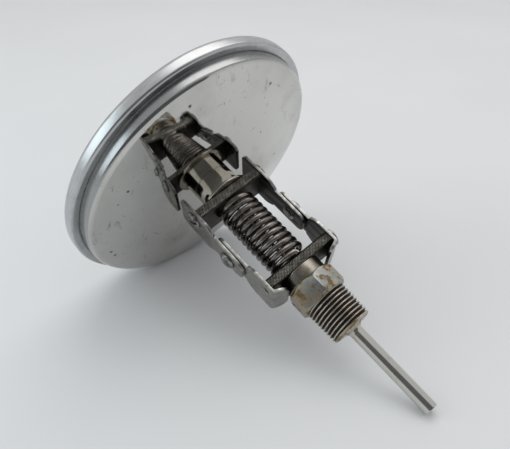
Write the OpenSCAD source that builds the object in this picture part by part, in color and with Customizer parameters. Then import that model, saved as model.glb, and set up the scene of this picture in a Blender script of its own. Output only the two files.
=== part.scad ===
// Bimetal dial thermometer with an adjustable angle joint between dial and stem.
// The stem axis is +Y and the dial faces -Y. The origin is on the axis at the seat of the pipe thread.

/* [Stem] */
// Outside diameter of the stem tube
stem_d = 6.35; // [5:0.05:9.5]
// Distance from the thread seat to the tip of the stem
stem_l = 61.5; // [45:0.5:200]
// Wall of the stem tube
stem_wall = 0.7; // [0.4:0.05:1]
// Diameter of the turning shafts
shaft_d = 1.6; // [1:0.1:2]

/* [Hexagon fitting] */
// Width across the flats of the hexagon
hex_af = 22.2; // [21.5:0.1:30]
// Height of the hexagon
hex_h = 10.8; // [6:0.1:18]
// Turn of the hexagon about the axis
hex_turn = 4; // [0:1:59]
// Diameter of the plain neck above the hexagon
neck_d = 21; // [16:0.1:21.5]
// Length of the plain neck
neck_l = 6.05; // [5:0.05:12]
// Crest diameter of the tapered thread at its seat
thread_d = 21.2; // [16:0.1:21.5]
// Length of the thread
thread_l = 16.6; // [12:0.1:20]
// Distance from crest to crest
thread_pitch = 1.814; // [1:0.001:2.5]
// Depth of the thread
thread_depth = 1.15; // [0.5:0.05:1.3]
// Length of the small collar between thread and stem
collar_l = 1.6; // [1:0.1:3]

/* [Knurled blocks] */
// Length of a block between its two side plates
block_l = 35.76; // [32:0.02:44]
// Thickness of a block along the axis
block_t = 5.1; // [4:0.1:8]
// Width of a block
block_w = 18.4; // [16:0.1:20.5]
// Distance from ridge to ridge of the knurl
knurl_pitch = 1; // [0.8:0.1:2]
// Depth of the knurl
knurl_depth = 0.3; // [0.1:0.05:0.4]
// Chamfer of the block's edges on the spring side
block_chamfer = 1.2; // [0.5:0.1:1.5]

/* [Side plates] */
// Thickness of a side plate
plate_t = 1.6; // [1:0.1:2.5]
// Width of a side plate at its block
plate_wide = 21; // [20:0.1:24]
// Width of a side plate at the pivot
plate_narrow = 12.8; // [10:0.1:16]
// Reach of a plate's narrow end past the pivot
tongue_l = 10; // [7:0.1:12]
// Distance from the pivot at which a plate reaches its full width
shoulder_l = 15.8; // [14:0.1:18]
// Height of the step where a plate's narrow arm meets its wide end
shoulder_step = 1.4; // [0.4:0.1:2]
// Distance from the middle of a block to the pivot
arm_l = 23.2; // [22:0.1:40]
// Reach of the head plates past the middle of their block
plate_tip = 11.3; // [7:0.1:11.6]
// Corner radius of the side plates' wide ends
plate_round = 3; // [1:0.1:5]
// Angle of the foot tabs from the plane of the seat
tab_angle = 20; // [10:0.5:35]
// Reach of the foot tabs towards the neck
tab_reach = 6.4; // [4:0.1:7]
// Corner radius of the foot tabs
tab_round = 5.6; // [1:0.1:6]
// Gap between the foot tabs and the hexagon
tab_gap = 0.8; // [0.05:0.05:1.5]

/* [Pivot and fasteners] */
// Shank diameter of the pivot rivets
rivet_d = 5; // [3:0.1:6]
// Head diameter of the pivot rivets
rivet_head_d = 8.8; // [7:0.1:10]
// Head height of the pivot rivets
rivet_head_h = 2.4; // [1:0.1:3.5]
// Thickness of the washers between the plates
washer_t = 0.26; // [0.2:0.02:1]
// Shank diameter of the block screws
screw_d = 3.2; // [2.5:0.1:4]
// Head diameter of the block screws
screw_head_d = 8.6; // [6:0.1:10]
// Head height of the block screws
screw_head_h = 2.2; // [1.5:0.1:3]
// Length of a block screw inside its block
screw_l = 7; // [4:0.5:10]
// Height of the block screws above the middle of their block
screw_up = 5; // [0:0.1:5.5]

/* [Joint spring] */
// Outside diameter of the joint spring
spring_d = 19.8; // [16:0.1:22]
// Diameter of its wire
spring_wire = 2.6; // [1.5:0.1:3]
// Number of its curls
spring_curls = 11.25; // [8:0.25:12]
// Height of the first and last curl over the blocks
spring_seat = 0.3; // [0.2:0.1:1]

/* [Case] */
// Depth of the plain wall from the rounded edge to the bezel
case_wall_h = 5.4; // [4:0.1:30]
// Rise of the domed back
dome_h = 4.6; // [0.5:0.1:8]
// Radius of the edge between the back and the wall
case_round = 2.2; // [1.5:0.1:5]
// Sheet thickness of the case
case_t = 0.9; // [0.6:0.1:1.5]
// Diameter of the boss on the back
boss_d = 21; // [18:0.1:28]
// Length of the boss
boss_l = 9.4; // [6:0.1:15]
// Diameter of the swivel flange
flange_d = 26.4; // [22:0.1:32]
// Thickness of the swivel flange
flange_t = 1.25; // [1:0.05:3]
// Diameter of the hollow stub that the case turns on
stub_d = 12; // [9:0.1:14]

/* [Front] */
// Diameter of the bezel ring
bezel_d = 138.8; // [106:0.2:170]
// How far the bezel stands out beyond the case wall
bezel_step = 4; // [2:0.1:6]
// Depth of the bezel ring
bezel_h = 7.4; // [7:0.1:14]
// Rounding between the bezel's side and its front
bezel_round = 3.2; // [1:0.1:3.4]
// Width of the bezel's front lip
bezel_lip = 7; // [5:0.1:10]
// Thickness of the window glass
glass_t = 2.4; // [1.5:0.1:4]
// Height of the ring between the window and the dial
gasket_h = 4; // [3.4:0.1:8]
// Thickness of the dial plate
dial_t = 0.8; // [0.5:0.1:1.5]
// Reach of the pointer from the axis
pointer_l = 50; // [30:1:60]
// Radius of the pointer's eye
pointer_eye = 3.5; // [2.5:0.1:5]
// Distance of the dial's screws and spacers from the axis
spacer_x = 30; // [15:0.5:40]
// Diameter of the dial spacers
spacer_d = 6; // [4:0.1:9]
// Diameter of the dial screws' heads
dial_screw_d = 4; // [3:0.1:6]

/* [Hidden] */
$fn = 96;
eps = 0.01;
// Radial room of a turning fit, and end room between faces that turn past each other
run_gap = 0.05;
end_gap = 0.1;
// Stations along the axis, from the thread seat towards the dial
neck_y = -(hex_h + neck_l);
stem_block_y = neck_y - block_t;
pivot_y = neck_y - block_t / 2 - arm_l;
head_block_y = pivot_y - arm_l - block_t / 2;
head_face_y = head_block_y + block_t;
flange_y = head_block_y - flange_t;
boss_y = flange_y - end_gap;
back_y = boss_y - boss_l;
collar_y = thread_l + collar_l;
shaft_r = shaft_d / 2;
shaft_hole_r = shaft_r + 1.8;
stem_r = stem_d / 2;
stem_bore_r = stem_r - stem_wall;
spigot_r = stem_r - stem_wall / 2;
spigot_l = 9.6;
collar_r = stem_r + 1.7;
neck_bush_r = shaft_r + 2.7;
neck_bush_l = 4;
hex_r = hex_af / 2 / cos(30);
// The two yokes are the same part, set aside from each other by one plate and one washer
yoke_shift = (plate_t + washer_t + 0.06) / 2;
half_l = block_l / 2;
screw_hole_r = screw_d / 2 + run_gap;
// The block screws sit a little further from the pivot than the middle of their block
screw_out = 0.5;
rivet_r = rivet_d / 2;
inner_head_h = 1;
// Case profile
case_r = bezel_d / 2 - bezel_step;
dome_flat = boss_d / 2 + 1.5;
dome_run = case_r - case_round - dome_flat;
dome_slope = 2 * atan(dome_h / dome_run);
dome_curve = dome_run / sin(dome_slope) + case_round;
edge_y = back_y - dome_curve * (1 - cos(dome_slope)) - case_round * cos(dome_slope);
wall_end_y = edge_y - case_wall_h;
bezel_y = wall_end_y - bezel_h;
lip_t = 2.2;
glass_y = bezel_y + lip_t;
glass_r = case_r - 0.6;
gasket_y = glass_y + glass_t;
dial_y = gasket_y + gasket_h;
pointer_y = (gasket_y + dial_y) / 2 - 0.4;
pointer_t = 0.5;
stub_r = stub_d / 2;
boss_bore_r = stub_r + run_gap;
spigot_case_r = stub_r + 2;
boss_spigot_l = case_t + 1.5;
stub_end_y = back_y - boss_spigot_l - 1.1;
ring_y = back_y - boss_spigot_l - end_gap;
// Inner pieces of the stem
helix_turns = 10;
helix_pitch = 2.4;
strip_w = 1.5;
strip_t = 0.3;
helix_r = stem_bore_r - 0.35;
plug_t = 1.2;
anchor_t = 1;
helix_end_y = stem_l - plug_t - anchor_t - strip_w / 2 - 0.4;
helix_start_y = helix_end_y - helix_turns * helix_pitch;
coupling_l = 8;
shaft_end = 1.2;

// Turns shapes drawn along Z so that they lie along Y, from station y
module along_y(y) translate([0, y, 0]) rotate([-90, 0, 0]) children();
// Turns shapes drawn along Z so that they lie along X, from position x
module along_x(x) translate([x, 0, 0]) rotate([0, 90, 0]) children();
// A ring or disc along the axis
module ring_y(y, h, outer, inner) along_y(y) difference() {
  cylinder(r = outer, h = h);
  if (inner > 0) translate([0, 0, -1]) cylinder(r = inner, h = h + 2);
}
// Points of an arc, by centre, radius and angles
function arc(cx, cy, r, from, to, n) =
  [for (i = [0:n]) let (a = from + (to - from) * i / n) [cx + r * cos(a), cy + r * sin(a)]];

// Side faces of a tube whose rings of n points follow each other, with both ends closed
function tube_faces(rings, n) = concat(
  [for (i = [0:rings - 2], k = [0:n - 1])
    each let (a = i * n + k, b = i * n + (k + 1) % n) [[a, b, b + n], [a, b + n, a + n]]],
  [for (k = [1:n - 2]) [0, k + 1, k]],
  [for (k = [1:n - 2]) let (z = (rings - 1) * n) [z, z + k, z + k + 1]]);

// Hexagon fitting

// Tapered thread drawn as ridges, one in sixteen on the diameter
function crest(y) = thread_d / 2 - y / 32;
thread_n = floor((thread_l - 1) / thread_pitch);
thread_profile = concat([[0, 0], [crest(0) - thread_depth, 0]],
  [for (i = [0:thread_n - 1]) let (y = 0.5 + i * thread_pitch) each [
    [crest(y) - thread_depth, y], [crest(y), y + thread_pitch * 0.42],
    [crest(y), y + thread_pitch * 0.58]]],
  [[crest(thread_l) - thread_depth, 0.5 + thread_n * thread_pitch],
   [crest(thread_l) - thread_depth, thread_l], [0, thread_l]]);

module hex_fitting() color("#8b8578") difference() {
  union() {
    along_y(neck_y) cylinder(d = neck_d, h = neck_l);
    along_y(-hex_h) intersection() {
      rotate([0, 0, -hex_turn]) cylinder(r = hex_r, h = hex_h, $fn = 6);
      rotate_extrude() polygon([[0, 0], [hex_af / 2, 0], [hex_r, (hex_r - hex_af / 2) * 0.9],
        [hex_r, hex_h - (hex_r - hex_af / 2) * 0.6], [hex_af / 2, hex_h], [0, hex_h]]);
    }
    along_y(0) rotate_extrude() polygon(thread_profile);
    along_y(thread_l - eps) cylinder(r1 = collar_r, r2 = stem_r + 0.4, h = collar_l + eps);
  }
  along_y(neck_y - 1) cylinder(r = shaft_hole_r, h = collar_y - neck_y + 2);
  along_y(neck_y - 1) cylinder(r = neck_bush_r, h = neck_bush_l + 1);
  along_y(collar_y - spigot_l) cylinder(r = spigot_r, h = spigot_l + 1);
}

module neck_bush() color("#b08d57") ring_y(neck_y, neck_bush_l, neck_bush_r, shaft_r + run_gap);

// Stem

module stem_tube() color("#c9c4b4") along_y(0) difference() {
  union() {
    translate([0, 0, collar_y - spigot_l]) cylinder(r = spigot_r, h = spigot_l + eps);
    translate([0, 0, collar_y]) cylinder(r = stem_r, h = stem_l - collar_y - 0.4);
    translate([0, 0, stem_l - 0.4]) cylinder(r1 = stem_r, r2 = stem_r - 0.4, h = 0.4);
  }
  translate([0, 0, collar_y - spigot_l - 1]) cylinder(r = stem_bore_r, h = stem_l);
}

module tip_plug() color("#bdb8a8") ring_y(stem_l - plug_t, plug_t, stem_bore_r, 0);

module helix_anchor() color("#b08d57")
  ring_y(stem_l - plug_t - anchor_t, anchor_t, stem_bore_r, 0);

module stem_bush() color("#b08d57")
  ring_y(helix_start_y - 4.5, 2.5, stem_bore_r, shaft_r + run_gap);

module bimetal_helix() {
  steps = helix_turns * 12;
  points = [for (i = [0:steps]) let (a = i * 30, y = helix_start_y + helix_pitch * i / 12)
    for (c = [[0, -1], [1, -1], [1, 1], [0, 1]])
      let (r = helix_r - strip_t * c[0]) [r * cos(a), y + c[1] * strip_w / 2, r * sin(a)]];
  color("#a8895a") polyhedron(points, tube_faces(steps + 1, 4));
}

module stem_shaft() color("#9a9a96") {
  along_y(pivot_y + shaft_end) cylinder(r = shaft_r, h = helix_start_y - pivot_y - shaft_end);
  // Arm that joins the shaft to the first turn of the helix
  translate([0, helix_start_y - strip_w / 2, -0.4]) cube([helix_r - strip_t - 0.12, strip_w, 0.8]);
}

// Yokes

half_n = floor((block_l - 2) / knurl_pitch / 2);
knurl_edge = [for (i = [-half_n:half_n - 1]) each [
  [i * knurl_pitch, block_w / 2 - knurl_depth], [(i + 0.5) * knurl_pitch, block_w / 2]]];
knurl_outline = concat([[-half_l, block_w / 2 - knurl_depth]], knurl_edge,
  [[half_n * knurl_pitch, block_w / 2 - knurl_depth], [half_l, block_w / 2 - knurl_depth],
   [half_l, -block_w / 2 + knurl_depth], [half_n * knurl_pitch, -block_w / 2 + knurl_depth]],
  [for (i = [len(knurl_edge) - 1:-1:0]) [knurl_edge[i][0], -knurl_edge[i][1]]],
  [[-half_l, -block_w / 2 + knurl_depth]]);

// Knurled bar from station y, with the wider chamfer on its spring side
module block(y, shift, spring_side) {
  w = block_w / 2;
  big = block_chamfer;
  small = 0.4;
  a = spring_side < 0 ? big : small;
  b = spring_side < 0 ? small : big;
  difference() {
    intersection() {
      translate([shift, 0, 0]) along_y(y) linear_extrude(block_t) polygon(knurl_outline);
      along_x(-block_l) linear_extrude(2 * block_l) rotate(90) polygon([
        [y, w - a], [y + a, w], [y + block_t - b, w], [y + block_t, w - b],
        [y + block_t, -w + b], [y + block_t - b, -w], [y + a, -w], [y, -w + a]]);
    }
    along_y(y - 1) cylinder(r = shaft_hole_r, h = block_t + 2);
    for (side = [-1, 1])
      translate([shift + side * half_l, y + block_t / 2 - spring_side * screw_out, screw_up])
        rotate([0, 90, 0]) cylinder(r = screw_hole_r, h = 2 * (screw_l + 1), center = true);
  }
}

module stem_block() color("#5f5b54") block(stem_block_y, -yoke_shift, -1);
module head_block() color("#5f5b54") block(head_block_y, yoke_shift, 1);

// Outline of a side plate in (distance from the pivot, width): a tongue that passes the pivot
// and widens to a broad end at the block
module plate_outline(end) {
  n = plate_narrow / 2;
  w = plate_wide / 2;
  r = plate_round;
  t = n - 1.8;
  tongue = arc(t - tongue_l, n - 0.4 - t, t, 180, 90, 5);
  step_l = shoulder_l - 4.8;
  shoulder = [[step_l - 0.4, n], [step_l, n + shoulder_step], [shoulder_l, w], [arm_l + 2, w]];
  far = end > arm_l + 6 ? arc(end - r, w - 0.6 - r, r, 80, 0, 5) : [[end, w - 1]];
  upper = concat(tongue, shoulder, far);
  polygon(concat(upper, [for (i = [len(upper) - 1:-1:0]) [upper[i][0], -upper[i][1]]]));
}

// Side plate with its inner face at x, lying away from the pivot in the direction way (1 or -1)
module plate(x, way, end, pivot_hole_r) difference() {
  translate([x, pivot_y, 0]) rotate([0, 90, 0]) linear_extrude(plate_t)
    rotate(90) scale([way, 1]) plate_outline(end);
  translate([x - 1, pivot_y, 0]) rotate([0, 90, 0]) cylinder(r = pivot_hole_r, h = plate_t + 2);
  translate([x - 1, pivot_y + way * (arm_l + screw_out), screw_up]) rotate([0, 90, 0])
    cylinder(r = screw_hole_r, h = plate_t + 2);
}

// Foot tab of a stem plate: it turns inward and ends on top of the hexagon.
// Its section is drawn in (across, along), from the plate's inner face
tab_w = plate_wide - 0.6;
tab_end_y = -hex_h - tab_gap;
tab_slope = tan(tab_angle);
tab_out_y = tab_end_y - (tab_reach + plate_t) * tab_slope;
tab_in_y = tab_out_y + plate_t * tab_slope - plate_t / cos(tab_angle);
tab_section = [[0, tab_in_y - 1], [0, tab_in_y], [-tab_reach, tab_in_y + tab_reach * tab_slope],
  [-tab_reach, tab_end_y], [plate_t, tab_out_y], [plate_t, tab_in_y - 1]];
tab_half = tab_w / 2;
tab_outline = concat([[plate_t, -tab_half]],
  arc(tab_round - tab_reach, tab_round - tab_half, tab_round, 270, 180, 6),
  arc(tab_round - tab_reach, tab_half - tab_round, tab_round, 180, 90, 6), [[plate_t, tab_half]]);
module tab() intersection() {
  translate([0, 0, -tab_half]) linear_extrude(tab_w) polygon(tab_section);
  along_y(tab_in_y - 2) linear_extrude(tab_end_y - tab_in_y + 4) polygon(tab_outline);
}

module stem_plate(side) {
  x = side > 0 ? half_l - yoke_shift : -half_l - yoke_shift - plate_t;
  difference() {
    union() {
      plate(x, 1, tab_in_y - pivot_y - 0.2, rivet_r);
      if (side > 0) translate([x, 0, 0]) tab();
      else translate([x + plate_t, 0, 0]) mirror([1, 0, 0]) tab();
    }
    along_y(neck_y - eps) cylinder(d = neck_d, h = neck_l + eps);
  }
}
module stem_plate_left() color("#77736a") stem_plate(1);
module stem_plate_right() color("#77736a") stem_plate(-1);

module head_plate(side) {
  x = side > 0 ? half_l + yoke_shift : -half_l + yoke_shift - plate_t;
  plate(x, -1, arm_l + plate_tip, rivet_r + run_gap);
}
module head_plate_left() color("#77736a") head_plate(1);
module head_plate_right() color("#77736a") head_plate(-1);

// Screw with its head seated on x and its shank towards the axis
module block_screw(x, y, side) translate([x, y, screw_up]) rotate([0, side * 90, 0]) difference() {
  union() {
    cylinder(d = screw_head_d, h = screw_head_h - 0.6);
    translate([0, 0, screw_head_h - 0.6 - eps])
      cylinder(d1 = screw_head_d, d2 = screw_head_d - 1.6, h = 0.6 + eps);
    translate([0, 0, -screw_l - plate_t]) cylinder(d = screw_d, h = screw_l + plate_t + eps);
  }
  translate([-screw_head_d, -0.6, screw_head_h - 1]) cube([2 * screw_head_d, 1.2, 2]);
}
module head_block_screws() color("#6d6a63") {
  block_screw(half_l + yoke_shift + plate_t, pivot_y - arm_l - screw_out, 1);
  block_screw(-half_l + yoke_shift - plate_t, pivot_y - arm_l - screw_out, -1);
}
module stem_block_screw() color("#6d6a63")
  block_screw(-half_l - yoke_shift - plate_t, pivot_y + arm_l + screw_out, -1);

// Pivot: each rivet is held by its stem plate and runs in its head plate
pivot_out = half_l + yoke_shift + plate_t;
pivot_in = half_l - yoke_shift;
module rivet(side, out_gap, in_gap) translate([0, pivot_y, 0]) rotate([0, side * 90, 0]) {
  inner = pivot_in - in_gap;
  outer = pivot_out + out_gap;
  translate([0, 0, inner - inner_head_h]) cylinder(d = rivet_head_d - 1.8, h = inner_head_h);
  translate([0, 0, inner - eps]) cylinder(r = rivet_r, h = outer - inner + 2 * eps);
  translate([0, 0, outer]) cylinder(d = rivet_head_d, h = rivet_head_h * 0.6);
  translate([0, 0, outer + rivet_head_h * 0.6 - eps])
    cylinder(d1 = rivet_head_d, d2 = rivet_head_d - 2.4, h = rivet_head_h * 0.4 + eps);
}
module pivot_rivets() color("#6d6a63") {
  rivet(1, end_gap, 0);
  rivet(-1, 0, end_gap);
}
module pivot_washers() color("#55524c") {
  washer_r = plate_narrow / 2 - 0.6;
  for (x = [half_l - yoke_shift + plate_t, -half_l - yoke_shift])
    translate([x, pivot_y, 0]) rotate([0, 90, 0]) difference() {
      cylinder(r = washer_r, h = washer_t);
      translate([0, 0, -1]) cylinder(r = rivet_r, h = washer_t + 2);
    }
}

// Joint spring: one wire whose path is drawn on the unrolled cylinder, (around, along).
// It leaves the face square, bends into the curls and ends the same way.
spring_r = (spring_d - spring_wire) / 2;
spring_h = stem_block_y - head_face_y;
spring_bend = spring_wire / 2 + spring_seat;
spring_rise = spring_h - 2 * spring_bend;
lead = atan(spring_rise / (2 * PI * spring_r * spring_curls));
bend_to = 90 - lead;
bend_steps = 3;
start_part = [for (i = [0:bend_steps]) let (a = bend_to * i / bend_steps)
  [spring_bend * (1 - cos(a)), spring_bend * sin(a), a]];
around = 2 * PI * spring_r * spring_curls;
total_around = around + 2 * start_part[bend_steps][0];
curl_rings = 8;
curl_from = start_part[bend_steps];
curl_n = spring_curls * curl_rings;
curl_part = [for (i = [1:curl_n - 1]) [curl_from[0] + around * i / curl_n,
  curl_from[1] + (spring_h - 2 * curl_from[1]) * i / curl_n, bend_to]];
end_part = [for (i = [len(start_part) - 1:-1:0])
  [total_around - start_part[i][0], spring_h - start_part[i][1], start_part[i][2]]];
spring_path = concat(start_part, curl_part, end_part);
function on_spring(u, v) = let (a = u / spring_r * 180 / PI)
  [spring_r * cos(a), head_face_y + v, spring_r * sin(a)];
spring_points = [for (s = spring_path)
  let (a = s[0] / spring_r * 180 / PI, out = [cos(a), 0, sin(a)],
    way = [-sin(a) * sin(s[2]), cos(s[2]), cos(a) * sin(s[2])], third = cross(way, out))
  for (k = [0:5]) on_spring(s[0], s[1]) + spring_wire / 2 * (cos(60 * k) * out + sin(60 * k) * third)];
// Least gap of the wire to itself, measured between its ring centres more than half a curl apart
spring_mid = [for (s = spring_path) on_spring(s[0], s[1])];
spring_gap = min([for (i = [0:len(spring_mid) - 1], j = [i + 5:1:min(i + 12, len(spring_mid) - 1)])
  norm(spring_mid[i] - spring_mid[j])]) - spring_wire;
module joint_spring() color("#4a4742")
  polyhedron(spring_points, tube_faces(len(spring_path), 6));

// Turning shafts

module shaft_coupling() color("#8a8780")
  ring_y(pivot_y - coupling_l / 2, coupling_l, shaft_r + run_gap + 0.7, shaft_r + run_gap);

module head_shaft() color("#9a9a96")
  along_y(pointer_y - 1) cylinder(r = shaft_r, h = pivot_y - shaft_end - pointer_y + 1);

module stub_bush() color("#b08d57")
  ring_y(stub_end_y, 4, shaft_hole_r, shaft_r + run_gap);

// Swivel

module swivel_flange() color("#8f897c") difference() {
  union() {
    along_y(flange_y) cylinder(d = flange_d, h = flange_t);
    along_y(stub_end_y) cylinder(r = stub_r, h = flange_y - stub_end_y + eps);
  }
  along_y(stub_end_y - 1) cylinder(r = shaft_hole_r, h = flange_y + flange_t - stub_end_y + 2);
  ring_y(ring_y - 0.6, 0.6, stub_r + 1, stub_r - 0.8);
}

module retaining_ring() color("#77736a") ring_y(ring_y - 0.6, 0.6, stub_r + 1.9, stub_r - 0.8);

// Case

module case_boss() color("#9a9183") difference() {
  union() {
    along_y(back_y) cylinder(d = boss_d, h = boss_l - 0.4);
    along_y(back_y + boss_l - 0.4) cylinder(d1 = boss_d, d2 = boss_d - 0.8, h = 0.4);
    along_y(back_y) cylinder(d = boss_d + 1, h = 1.3);
    along_y(back_y - boss_spigot_l) cylinder(r = spigot_case_r, h = boss_spigot_l + eps);
  }
  along_y(back_y - boss_spigot_l - 1) cylinder(r = boss_bore_r, h = boss_l + boss_spigot_l + 2);
}

// Profile of the case back, from its hole over the dome and the rounded edge to the rim
function skin(inset) = concat(
  [for (i = [0:12]) let (a = dome_slope * i / 12)
    [dome_flat + (dome_curve - inset) * sin(a), back_y - inset - (dome_curve - inset) * (1 - cos(a))]],
  arc(case_r - case_round, edge_y, case_round - inset, 90 - dome_slope, 0, 5),
  [[case_r - inset, gasket_y]]);
outer_skin = skin(0);
inner_skin = skin(case_t);
module case_back() color("#c9c8c4") along_y(0) rotate_extrude($fn = 180)
  polygon(concat([[spigot_case_r, back_y]], outer_skin,
    [for (i = [len(inner_skin) - 1:-1:0]) inner_skin[i]], [[spigot_case_r, back_y - case_t]]));

module bezel_ring() color("#d8d8d6") along_y(0) rotate_extrude($fn = 180) {
  r = bezel_d / 2;
  polygon(concat([[case_r + 0.05, wall_end_y]],
    arc(r - 1.2, wall_end_y - 1.2, 1.2, 90, 0, 4),
    arc(r - bezel_round, bezel_y + bezel_round, bezel_round, 0, -90, 6),
    arc(r - bezel_lip + 0.8, bezel_y + 0.8, 0.8, -90, -180, 4),
    [[r - bezel_lip, glass_y], [case_r + 0.05, glass_y]]));
}

module window_glass() color("#cfe0e6", 0.35) ring_y(glass_y, glass_t, glass_r, 0);
module window_gasket() color("#2b2b2b")
  ring_y(gasket_y, gasket_h, case_r - case_t - 0.05, case_r - case_t - 2);
module dial_plate() color("#f2f1ec") ring_y(dial_y, dial_t, case_r - case_t - 0.1, shaft_r + 1.5);

spacer_curve = dome_curve - case_t;
spacer_top_y = back_y - case_t - 0.05
  - spacer_curve * (1 - cos(asin((spacer_x + spacer_d / 2 - dome_flat) / spacer_curve)));
module dial_spacers() color("#b08d57") for (side = [-1, 1]) translate([side * spacer_x, 0, 0])
  along_y(dial_y + dial_t) cylinder(d = spacer_d, h = spacer_top_y - dial_y - dial_t);
module dial_screws() color("#b9b9b4") for (side = [-1, 1]) translate([side * spacer_x, 0, 0])
  difference() {
    along_y(dial_y - 0.9) cylinder(d = dial_screw_d, h = 0.9);
    translate([-dial_screw_d, dial_y - 1.4, -0.3]) cube([2 * dial_screw_d, 0.9, 0.6]);
  }

// Pointer, at rest pointing to -X
module pointer() color("#1c1c1c") along_y(pointer_y) difference() {
  union() {
    cylinder(r = pointer_eye, h = pointer_t);
    linear_extrude(pointer_t) polygon([[0, 1.9], [-pointer_l * 0.86, 1.1], [-pointer_l, 0],
      [-pointer_l * 0.86, -1.1], [0, -1.9], [pointer_l * 0.3, -2.6], [pointer_l * 0.3, 2.6]]);
  }
  translate([0, 0, -1]) cylinder(r = shaft_r, h = pointer_t + 2);
}
module pointer_hub() color("#b08d57") {
  ring_y(pointer_y - 0.9, 0.9, 2.6, shaft_r);
  ring_y(pointer_y + pointer_t, 0.8, 2, shaft_r);
}

echo(spring_gap = spring_gap);
hex_fitting();
stem_tube();
tip_plug();
bimetal_helix();
helix_anchor();
stem_shaft();
stem_bush();
neck_bush();
stem_block();
stem_plate_left();
stem_plate_right();
stem_block_screw();
pivot_rivets();
pivot_washers();
joint_spring();
shaft_coupling();
head_block();
head_plate_left();
head_plate_right();
head_block_screws();
swivel_flange();
retaining_ring();
stub_bush();
case_boss();
case_back();
bezel_ring();
window_gasket();
window_glass();
dial_plate();
dial_spacers();
dial_screws();
head_shaft();
pointer();
pointer_hub();
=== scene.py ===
import math

import bmesh
import bpy
from mathutils import Matrix, Vector


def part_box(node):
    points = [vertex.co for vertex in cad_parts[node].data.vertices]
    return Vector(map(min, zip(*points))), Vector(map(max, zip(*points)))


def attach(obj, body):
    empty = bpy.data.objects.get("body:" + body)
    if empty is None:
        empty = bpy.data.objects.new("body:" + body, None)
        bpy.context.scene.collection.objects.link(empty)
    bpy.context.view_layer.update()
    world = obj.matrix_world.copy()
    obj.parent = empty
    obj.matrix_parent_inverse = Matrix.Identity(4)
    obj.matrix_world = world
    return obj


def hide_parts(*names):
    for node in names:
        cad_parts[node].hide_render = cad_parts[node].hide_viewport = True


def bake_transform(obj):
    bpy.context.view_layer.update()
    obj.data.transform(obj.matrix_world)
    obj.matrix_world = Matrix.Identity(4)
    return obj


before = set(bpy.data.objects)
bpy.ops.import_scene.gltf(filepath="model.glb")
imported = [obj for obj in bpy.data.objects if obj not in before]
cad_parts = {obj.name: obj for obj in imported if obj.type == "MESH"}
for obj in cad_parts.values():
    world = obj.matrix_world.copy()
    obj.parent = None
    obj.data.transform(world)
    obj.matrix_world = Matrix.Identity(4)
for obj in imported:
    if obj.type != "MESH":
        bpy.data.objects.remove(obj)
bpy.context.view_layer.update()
MM = 0.001


def span(node):
    """Lowest and highest corner of a CAD node in millimetres."""
    low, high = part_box(node)
    return low / MM, high / MM


def extent(node):
    """Highest x, lowest y and highest y of a CAD node in millimetres."""
    low, high = span(node)
    return high.x, low.y, high.y


# Sizes read from the frame, in millimetres as all sizes of pieces below
_, neck_y, collar_y = extent("hex_fitting")
stem_r, _, stem_tip_y = extent("stem_tube")
stem_block, head_block = span("stem_block"), span("head_block")
pivot_y = sum(corner.y for corner in span("pivot_washers")) / 2
plate_half = span("head_plate_left")[1].z
head_plates_end_y = span("head_plate_left")[0].y
tab_end_y = span("stem_plate_left")[1].y
tongue_l = pivot_y - span("stem_plate_left")[0].y
boss_end_y = span("case_boss")[1].y
flange_r, _, flange_face_y = extent("swivel_flange")
case_r, _, back_y = extent("case_back")
bezel_r, bezel_y, wall_end_y = extent("bezel_ring")
glass_r, glass_y, gasket_y = extent("window_glass")
dial_r, dial_y, _ = extent("dial_plate")
pointer_l, pointer_y = -span("pointer")[0].x, span("pointer")[0].y

# Hexagon fitting
HEX_AF = 22.2
HEX_H = 10.8
HEX_TURN = math.radians(4)
HEX_CROWN = HEX_AF / 2 - 0.1
NECK_R = 10.5
THREAD_R = 10.6
THREAD_L = 16.6
THREAD_PITCH = 1.814
THREAD_DEPTH = 1.15
THREAD_TAPER = 1 / 32
COLLAR_R = stem_r + 1.7

# Yokes
PLATE_T = 1.6
PLATE_EDGE = 0.28
PLATE_NARROW = 12.8
SHOULDER_L = 15.8
SHOULDER_STEP = 1.4
SHOULDER_RUN = 4.8
ARM_L = 23.2
SCREW_OUT = 0.5
SCREW_UP = 5.0
SCREW_HOLE_R = 1.65
TAB_ANGLE = math.radians(20)
TAB_REACH = 6.2
TAB_ROUND = 5.6
BEND_R = 0.8
KNURL_PITCH = 0.92
KNURL_DEPTH = 0.3
KNURL_STEEPNESS = 1.25
KNURL_FLOOR = 0.1
BLOCK_CHAMFER = 1.2
BLOCK_EDGE = 0.4
BORE_R = 2.6
RIVET_R = 2.5
RIVET_HEAD_R = 4.4
RIVET_HEAD_H = 2.4
RIVET_INNER_R = 3.5
WASHER_R = 5.8
WASHER_T = 0.26
SCREW_R = 1.6
SCREW_HEAD_R = 4.3
SCREW_HEAD_H = 2.2
SLOT_W = 1.1
SLOT_DEPTH = 0.9
SLOT_TURN = math.radians(35)

# Joint spring and shaft coupling
SPRING_R = 8.6
SPRING_WIRE = 2.8
SPRING_CURLS = 11.25
SPRING_SEAT = 0.3
COUPLING_R = 1.15
COUPLING_WIRE = 0.66
COUPLING_CURLS = 10
COUPLING_L = 8.0

# Swivel and case
STUB_R = 6.0
BOSS_BORE_R = 6.05
FLANGE_T = 1.25
CASE_HOLE_R = 8.0
DOME_FLAT = 24.0
DOME_FULL = 46.0
DOME_SLOPE = math.radians(10.5)
CASE_ROUND = 2.2
CASE_T = 0.9
BOSS_R = 10.5
BEZEL_LIP = 7.0
BEZEL_ROUND = 3.2

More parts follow.
